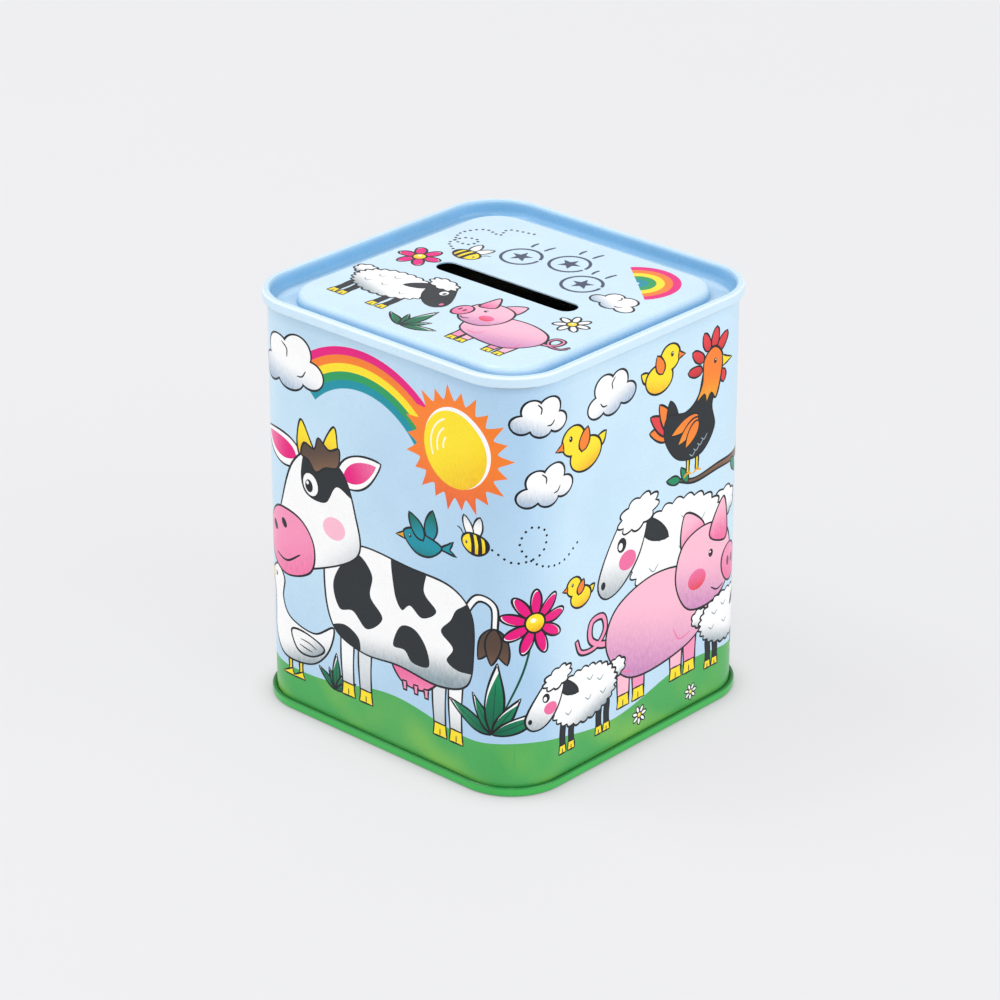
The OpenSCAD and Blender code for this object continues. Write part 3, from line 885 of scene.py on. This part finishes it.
def printed_piece(name, page, low, high, bends, place):
    """A closed thin layer of ink over a window of a page.

    place(points, out) puts flat points at a height above the tin, and gives the outward direction.
    """
    page, points, front, shape = cut(page, low, high, bends)
    front, shape = wound(front[shape >= 0], points, 1), shape[shape >= 0]

    # the edge of the layer, in the direction of the triangles beside it
    edge = sides(front)
    code = edge[:, 0] * len(points) + edge[:, 1]
    edge = edge[~np.isin(edge[:, 1] * len(points) + edge[:, 0], code)]
    rim, edge = np.unique(edge, return_inverse=True)
    edge = edge.reshape(-1, 2)

    # the back of the layer has only the points of its edge
    ends = [np.flatnonzero(abs(points[rim].real - s) < NEAR) for s in bends]
    lines = [(int(e[0]), int(e[-1])) for e in ends]
    flat, back, origin = triangulate(points[rim], edge.tolist() + lines)
    back, cover = window(page, low, high, flat, back)
    origin = np.array([o[0] for o in origin])
    back = wound(origin[back[cover >= 0]], points[rim], -1)

    # the mesh has the front's points, then the back's, and the rim joins the two
    outer, outward = place(points, INK_HIGH)
    inner, inward = place(points[rim], INK_LOW)
    used = np.unique(front)
    number = np.zeros(len(points), int)
    number[used] = np.arange(len(used))
    count = len(used)
    a, b = edge.T
    quads = np.stack([number[rim[b]], number[rim[a]], count + a, count + b], 1)
    faces = number[front].tolist() + (count + back).tolist() + quads.tolist()
    mesh = bpy.data.meshes.new(name)
    mesh.from_pydata((np.concatenate([outer[used], inner]) * MM).tolist(), [], faces)

    mesh.polygons.foreach_set("use_smooth", np.arange(len(faces)) < len(front) + len(back))
    colour = np.ones((len(mesh.loops), 4))
    colour[:front.size] = ink_colours(page, shape, points[front]).reshape(-1, 4)
    ink = mesh.color_attributes.new("ink", "FLOAT_COLOR", "CORNER")
    ink.data.foreach_set("color", colour.ravel())
    normal = np.zeros((len(mesh.loops), 3))
    normal[:front.size] = outward[front.ravel()]
    normal[front.size:front.size + back.size] = -inward[back.ravel()]
    mesh.normals_split_custom_set(normal.tolist())

    # the front keeps its flat shape in the UV map, and the rest goes in a strip beside it
    size = high - low
    room = 1 - 2 * UV_EDGE
    scale = min(room / size.imag, (room - UV_GAP - UV_STRIP) / size.real)
    uv = scale * (np.concatenate([points[used], points[rim]]) - low)
    across, up = uv[count:].real / (scale * size.real), uv[count:].imag / (scale * size.imag)
    uv[count:] = scale * size.real + UV_GAP + UV_STRIP * across + 1j * room * up
    uv += complex(UV_EDGE, UV_EDGE)
    corner = np.zeros(len(mesh.loops), np.int32)
    mesh.loops.foreach_get("vertex_index", corner)
    corner[front.size + back.size:] = count
    layer = mesh.uv_layers.new(name="OFBake")
    layer.data.foreach_set("uv", np.stack([uv[corner].real, uv[corner].imag], 1).ravel())
    piece = bpy.data.objects.new(name, mesh)
    bpy.context.scene.collection.objects.link(piece)
    return piece


def on_wall(points, out):
    """Places on the rolled wall for points of the blank, and the wall's outward direction there."""
    side = np.round(points.real / SIDE)
    along = points.real - side * SIDE
    flat = along.clip(-FLAT_HALF, FLAT_HALF)
    turn = (along - flat) / CORNER_R
    quarter = 1j ** side
    outward = (np.sin(turn) - 1j * np.cos(turn)) * quarter
    spot = (flat - 1j * FLAT_HALF) * quarter + (CORNER_R + out) * outward
    return (np.stack([spot.real, spot.imag, points.imag], 1),
            np.stack([outward.real, outward.imag, 0 * turn], 1))


def on_top(points, out):
    """Places on the top panel's raised middle, and the direction up."""
    up = np.tile([0.0, 0.0, 1.0], (len(points), 1))
    return np.stack([points.real, points.imag, np.full(len(points), PLATEAU_Z + out)], 1), up


def wall_prints():
    """The blank in five pieces, one for each side and two beside the lock seam."""
    page = wall_page()
    low, high = BASE_SEAM_H - TUCK, BOX_H - TOP_SEAM_H + TUCK
    start, end = LOCK_S - 4 * SIDE + BARE_EDGE, LOCK_S - BARE_EDGE
    corners = [(k - 0.5) * SIDE for k in range(-1, 3)]
    bend = math.pi / 2 * CORNER_R / BENDS
    all_bends = [k * SIDE + FLAT_HALF + j * bend for k in range(-2, 2) for j in range(BENDS + 1)]
    stops = [start] + corners + [end]
    names = ("print_back_left", "print_left", "print_front", "print_right", "print_back_right")
    for name, a, b in zip(names, stops, stops[1:]):
        bends = [s for s in all_bends if a + NEAR < s < b - NEAR]
        yield printed_piece(name, page, complex(a, low), complex(b, high), bends, on_wall)


# ---------------- materials
class Shader:
    """Builds one material's nodes. Its methods take and return sockets or plain numbers."""

    def __init__(self, name, **fixed):
        self.material = bpy.data.materials.new(name)
        self.material.use_nodes = True
        self.tree = self.material.node_tree
        self.surface = self.tree.nodes["Principled BSDF"].inputs
        for socket, value in fixed.items():
            self.surface[socket.replace("_", " ")].default_value = value

    def node(self, kind, *inputs, **settings):
        """A new node. Its inputs are given in order, and None leaves one as it is."""
        made = self.tree.nodes.new("ShaderNode" + kind)
        for key, value in settings.items():
            setattr(made, key, value)
        for socket, value in zip(made.inputs, inputs):
            self.feed(socket, value)
        return made

    def feed(self, socket, value):
        """Gives an input its value: a number or a colour, or a link from another socket."""
        if isinstance(value, bpy.types.NodeSocket):
            self.tree.links.new(value, socket)
        elif value is not None:
            socket.default_value = value

    def link(self, **inputs):
        """Links values to the surface shader's inputs."""
        for socket, value in inputs.items():
            self.feed(self.surface[socket.replace("_", " ")], value)

    def place(self, scale=(1, 1, 1), turn=(0, 0, 0)):
        """The place on the object, in metres, stretched and turned."""
        coordinates = self.node("TexCoord").outputs["Object"]
        return self.node("Mapping", coordinates, None, turn, scale).outputs[0]

    def noise(self, size, detail=2.0, place=None):
        """Smooth noise from 0 to 1, with features of about this size in millimetres."""
        made = self.node("TexNoise", place or self.place())
        made.inputs["Scale"].default_value = 1 / (size * MM)
        made.inputs["Detail"].default_value = detail
        return made.outputs[0]

    def maths(self, operation, a, b=None):
        """Arithmetic on numbers."""
        return self.node("Math", a, b, operation=operation).outputs[0]

    def product(self, first, *others):
        """Numbers multiplied together."""
        for other in others:
            first = self.maths("MULTIPLY", first, other)
        return first

    def vector(self, operation, a, b=None):
        """Arithmetic on vectors. Returns the vector and the number that come out."""
        return self.node("VectorMath", a, b, operation=operation).outputs

    def spread(self, value, low, high, start=0.0, end=1.0):
        """Turns start..end into low..high, held at both ends."""
        return self.node("MapRange", value, start, end, low, high).outputs[0]

    def vary(self, noise, low, high):
        """Turns the middle of a noise's range into low..high."""
        return self.spread(noise, low, high, 0.3, 0.7)

    def times(self, colour, amount):
        """A colour made lighter or darker."""
        made = self.node("VectorMath", colour, operation="SCALE")
        self.feed(made.inputs["Scale"], amount)
        return made.outputs[0]

    def mix(self, amount, a, b):
        """Colour a where amount is 0 and colour b where it is 1."""
        made = self.node("Mix", data_type="RGBA")
        for socket, value in zip((0, 6, 7), (amount, a, b)):
            self.feed(made.inputs[socket], value)
        return made.outputs[2]

    def bump(self, height, depth):
        """A bumpy surface, with its depth in millimetres."""
        return self.node("Bump", 1.0, depth * MM, None, height).outputs[0]


def ink_material():
    """Printed ink under varnish: pencil and gouache grain, and the varnish's faint orange peel."""
    shader = Shader("printed_ink", IOR=1.45, Specular_IOR_Level=0.3, Coat_Weight=0.1,
                    Coat_Roughness=0.12)
    ink = shader.node("Attribute", attribute_name="ink").outputs
    strokes = shader.noise(1.0, 2, shader.place((2.4, 2.4, 0.8), (0.5, 0.35, 0)))
    light = shader.maths("ADD", shader.vary(shader.noise(9, 3), 0.98, 1.02),
                         shader.spread(shader.noise(0.32, 3), -0.035, 0.035, 0.25, 0.75))
    pencil = shader.product(shader.vary(strokes, -0.16, 0.16), ink["Alpha"])
    shader.link(Base_Color=shader.times(ink["Color"], shader.maths("ADD", light, pencil)),
                Roughness=shader.vary(shader.noise(5, 4), 0.24, 0.36),
                Normal=shader.bump(shader.noise(0.9, 3), 0.006))
    return shader.material


def tin_material():
    """Bare tinplate with the rolling grain of the sheet and a thin lacquer."""
    shader = Shader("bare_tinplate", Metallic=1.0, Coat_Weight=0.2, Coat_Roughness=0.2)
    rolled = shader.noise(0.5, 4, shader.place((0.06, 0.06, 1.6)))
    bright = shader.maths("ADD", shader.vary(rolled, -0.08, 0.08),
                          shader.vary(shader.noise(7, 4), 0.92, 1.06))
    shader.link(Base_Color=shader.times(TINPLATE, bright),
                Roughness=shader.vary(rolled, 0.26, 0.46),
                Normal=shader.bump(rolled, 0.008))
    return shader.material


def enamel_material(name, ink, painted_shade_ink, masks):
    """Glossy enamel on tin. masks(shader) gives where painted shade darkens it, where a painted
    highlight makes it paler, and where it is left off.
    """
    shader = Shader(name, IOR=1.5, Specular_IOR_Level=0.35, Coat_Weight=0.25, Coat_Roughness=0.08)
    painted_shade, thin, bare = masks(shader)
    light = shader.maths("ADD", shader.vary(shader.noise(11, 3), 0.97, 1.03),
                         shader.vary(shader.noise(0.4, 3), -0.025, 0.025))
    # the enamel's colour, with painted shade in its hollows and a painted highlight on the rim's outer
    # bend
    paint = shader.mix(thin, shader.mix(painted_shade, (*ink, 1), (*painted_shade_ink, 1)), (*BLUE_PAINTED_HIGHLIGHT, 1))
    paint = shader.times(paint, light)
    rolled = shader.noise(0.5, 4, shader.place((0.06, 1.6, 1.6)))
    metal = shader.times(TINPLATE, shader.vary(rolled, 0.86, 1.1))
    rough = shader.vary(shader.noise(4, 4), 0.2, 0.32)
    shader.link(Base_Color=shader.mix(bare, paint, metal), Metallic=bare,
                Roughness=shader.maths("ADD", rough, shader.product(bare, 0.08)),
                Normal=shader.bump(shader.noise(1.3, 3), 0.008))
    return shader.material


def top_masks(shader):
    """Painted shade inside the rim and at the raised middle's foot, and a painted highlight on
    the rim's outer bend.
    """
    x, y, z = shader.node("SeparateXYZ", shader.place()).outputs
    nx, ny, nz = shader.node("SeparateXYZ", shader.node("TexCoord").outputs["Normal"]).outputs
    outward = shader.maths("ADD", shader.product(x, nx), shader.product(y, ny))
    outward = shader.maths("DIVIDE", outward, WALL_HALF * MM)
    # painted shade on the rim's inner wall, darker towards its foot
    rim_wall = shader.product(shader.spread(outward, 1.0, 0.0, -0.6, -0.1),
                              shader.spread(z, 1.0, 0.6, (BOX_H - 1.3) * MM, (BOX_H - 0.2) * MM))
    reach = shader.maths("MAXIMUM", shader.maths("ABSOLUTE", x), shader.maths("ABSOLUTE", y))
    # painted shade in the channel, at the foot of the raised middle
    within = shader.spread(reach, 1.0, 0.0, (PLATEAU_HALF + 2.4) * MM, (PLATEAU_HALF + 3) * MM)
    foot = shader.spread(z, 1.0, 0.0, (CHANNEL_Z + 0.3) * MM, (CHANNEL_Z + 1.6) * MM)
    slope = shader.spread(nz, 1.0, 0.25, 0.5, 0.98)
    # painted highlight: paler enamel along the rim's outer bend
    bend = shader.product(shader.spread(outward, 0.0, 1.0, 0.3, 0.55),
                          shader.spread(z, 0.0, 0.8, (BOX_H - 0.5) * MM, (BOX_H - 0.25) * MM))
    inside_box = shader.spread(reach, 1.0, 0.0, (WALL_HALF - 0.6) * MM, (WALL_HALF - 0.4) * MM)
    bare = shader.product(shader.spread(nz, 1.0, 0.0, -0.5, -0.3), inside_box)
    return shader.maths("MAXIMUM", rim_wall, shader.product(within, foot, slope)), bend, bare


def base_masks(shader):
    """Painted shade in the fold beside the wall. Bare tin on the side that faces up into the box."""
    z = shader.node("SeparateXYZ", shader.place()).outputs[2]
    nz = shader.node("SeparateXYZ", shader.node("TexCoord").outputs["Normal"]).outputs[2]
    # painted shade in the crease between the seam and the wall
    fold = shader.product(shader.spread(z, 0.0, 1.0, 0.75 * BASE_SEAM_H * MM, BASE_SEAM_H * MM),
                          shader.spread(z, 1.0, 0.0, (BASE_SEAM_H + 0.1) * MM, BASE_FOLD_Z * MM))
    inner = shader.spread(z, 0.0, 1.0, BASE_INSIDE_Z * MM, (BASE_INSIDE_Z + 0.2) * MM)
    return fold, 0.0, shader.product(inner, shader.spread(nz, 0.0, 1.0, 0.3, 0.5))


def plastic_material():
    """Soft natural plastic with the fine spark texture of its mould and faint flow marks."""
    shader = Shader("soft_plastic", IOR=1.51, Subsurface_Weight=0.25, Subsurface_Scale=0.002)
    shader.surface["Subsurface Radius"].default_value = (1.0, 0.9, 0.8)
    flow = shader.noise(6, 4, shader.place((1, 0.4, 1)))
    pits = shader.noise(0.25, 3)
    shader.link(Base_Color=shader.times(PLASTIC, shader.vary(flow, 0.94, 1.03)),
                Roughness=shader.vary(pits, 0.36, 0.52),
                Normal=shader.bump(pits, 0.012))
    return shader.material


def floor_material():
    """A pale light table, mostly lit from within, with a soft painted contact shadow where
    something stands.

    It is clear from beneath, to show the underside.
    """
    shader = Shader("light_table", Roughness=0.9, Emission_Color=(*GLOW, 1))
    tone = shader.vary(shader.noise(40, 3), 0.995, 1.005)
    # painted contact shadow: ambient occlusion dims the glow beside anything that stands on the floor
    open_sky = shader.node("AmbientOcclusion", None, EDGE_REACH * MM, samples=8).outputs["AO"]

    # the box's own footprint, a rounded square just inside the seam, stays lit
    past, _ = shader.vector("ABSOLUTE", shader.place())
    past, _ = shader.vector("SUBTRACT", past, (FLAT_HALF * MM, FLAT_HALF * MM, 0))
    past, _ = shader.vector("MAXIMUM", past, (0, 0, 0))
    _, past = shader.vector("LENGTH", past)
    edge = SEAM_OUT - FLAT_HALF
    footprint = shader.spread(past, 1.0, 0.0, (edge - 0.7) * MM, (edge - 0.5) * MM)
    lit = shader.maths("MAXIMUM", open_sky, footprint)
    shader.link(Base_Color=shader.times(PAPER, tone),
                Emission_Strength=shader.spread(lit, EDGE_GLOW, FLOOR_GLOW),
                Alpha=shader.maths("SUBTRACT", 1.0, shader.node("NewGeometry").outputs["Backfacing"]))
    return shader.material


# ---------------- camera, light and floor
VIEW_AZIMUTH, VIEW_ELEVATION = 42.53, 25.07  # degrees, from the object towards the camera
VIEW_DISTANCE = 0.8033          # metres
LENS = 138.7                    # focal length
AIM_ASIDE, AIM_Z = -0.77, 43.3  # millimetres to the right of the middle line, and up
ROOM_LIGHT = (0.69, 0.69, 0.705)
FLOOR_R, FLOOR_SIDES = 4.0, 96  # radius in metres, and number of sides
FLOOR_GLOW = 0.62               # how strongly the open floor glows
EDGE_GLOW = 0.2                 # and the floor right beside something
EDGE_REACH = 5                  # how far that shows, in millimetres


def look_at(thing, spot, target):
    """Adds a camera or a light to the scene at a spot, turned to face a target."""
    thing.location = spot
    thing.rotation_euler = (target - spot).to_track_quat("-Z", "Y").to_euler()
    bpy.context.scene.collection.objects.link(thing)


def direction(azimuth, elevation):
    """From the object towards a place round it. Azimuth 0 is at -Y, and 90 at +X."""
    a, e = math.radians(azimuth), math.radians(elevation)
    return Vector((math.sin(a) * math.cos(e), -math.cos(a) * math.cos(e), math.sin(e)))


def make_camera():
    """The camera, aimed a little to one side of the box's upright middle line."""
    data = bpy.data.cameras.new("camera")
    data.lens = LENS
    data.clip_start, data.clip_end = 0.01, 50
    camera = bpy.data.objects.new("camera", data)
    turn = math.radians(VIEW_AZIMUTH)
    target = Vector((AIM_ASIDE * math.cos(turn), AIM_ASIDE * math.sin(turn), AIM_Z)) * MM
    look_at(camera, target + direction(VIEW_AZIMUTH, VIEW_ELEVATION) * VIEW_DISTANCE, target)
    bpy.context.scene.camera = camera


def soft_light(name, azimuth, elevation, distance, size, power):
    """A white round lamp, aimed at the middle of the box. Metres and watts."""
    data = bpy.data.lights.new(name, "AREA")
    data.shape = "DISK"
    data.size = size
    data.energy = power
    target = Vector((0, 0, BOX_H / 2 * MM))
    look_at(bpy.data.objects.new(name, data), target + direction(azimuth, elevation) * distance, target)


def make_studio():
    """Even light all round, four soft lamps and the floor."""
    world = bpy.data.worlds.new("studio")
    world.use_nodes = True
    world.node_tree.nodes["Background"].inputs["Color"].default_value = (*ROOM_LIGHT, 1)
    bpy.context.scene.world = world
    soft_light("top_back", -60, 62, 1.6, 0.6, 5.0)
    soft_light("right", 100, 28, 3.4, 3.4, 41)
    soft_light("front", -40, 28, 3.4, 3.4, 24)
    soft_light("glint", 42, 58, 1.5, 0.16, 2.4)
    mesh = bpy.data.meshes.new("floor")
    t = np.arange(FLOOR_SIDES) * 2 * math.pi / FLOOR_SIDES
    mesh.from_pydata([(FLOOR_R * math.cos(a), FLOOR_R * math.sin(a), 0) for a in t], [], [range(len(t))])
    mesh.materials.append(floor_material())
    floor = bpy.data.objects.new("floor", mesh)
    bpy.context.scene.collection.objects.link(floor)
    bpy.context.scene.view_settings.view_transform = "Standard"


# ---------------- putting it together
def finish_node(name, material):
    """Gives a CAD node its one material."""
    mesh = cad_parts[name].data
    mesh.materials.clear()
    mesh.materials.append(material)


finish_node("body_wall", tin_material())
finish_node("top_panel", enamel_material("blue_enamel", BLUE_ENAMEL, BLUE_PAINTED_SHADE, top_masks))
finish_node("base_panel", enamel_material("green_enamel", GREEN_ENAMEL, GREEN_PAINTED_SHADE, base_masks))
finish_node("stopper", plastic_material())

ink_look = ink_material()
plateau = complex(PLATEAU_PRINT, PLATEAU_PRINT)
prints = list(wall_prints())
prints.append(printed_piece("print_top", top_page(), -plateau, plateau, [], on_top))
for piece in prints:
    piece.data.materials.append(ink_look)
    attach(piece, "tin")

make_camera()
make_studio()
